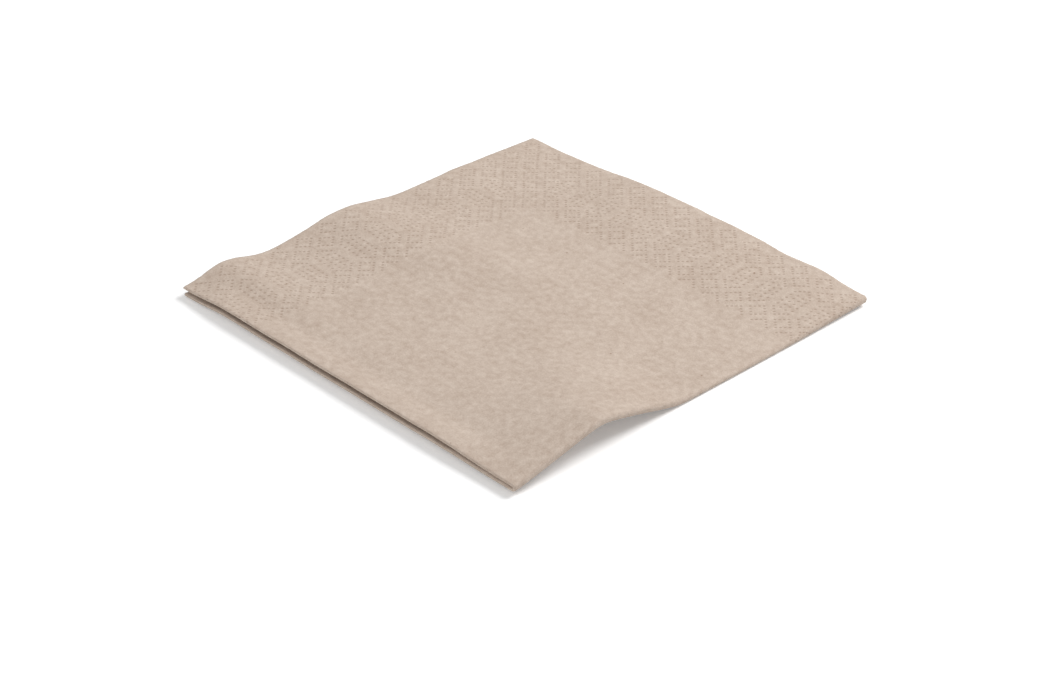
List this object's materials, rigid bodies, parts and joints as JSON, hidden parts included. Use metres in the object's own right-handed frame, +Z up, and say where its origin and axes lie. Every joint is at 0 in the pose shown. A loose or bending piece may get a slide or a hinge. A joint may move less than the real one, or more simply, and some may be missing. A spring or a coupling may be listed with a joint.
{
  "type": "paper napkin",
  "caption": "Square unbleached tissue napkin folded into a quarter, with a dotted embossed border and a low arch near its front, lying flat.",
  "frame": {"origin": "middle of the folded napkin's square outline, on the surface it lies on", "axes": "+Z up from the table; first fold along the -Y edge, second fold along the +X edge, loose edges at +Y and -X"},
  "size_m": [0.165, 0.165, 0.0118],
  "materials": {
    "tissue": "matt unbleached two-ply tissue, embossed along its edges"
  },
  "bodies": {
    "root": {"napkin": "tissue"}
  },
  "joints": []
}
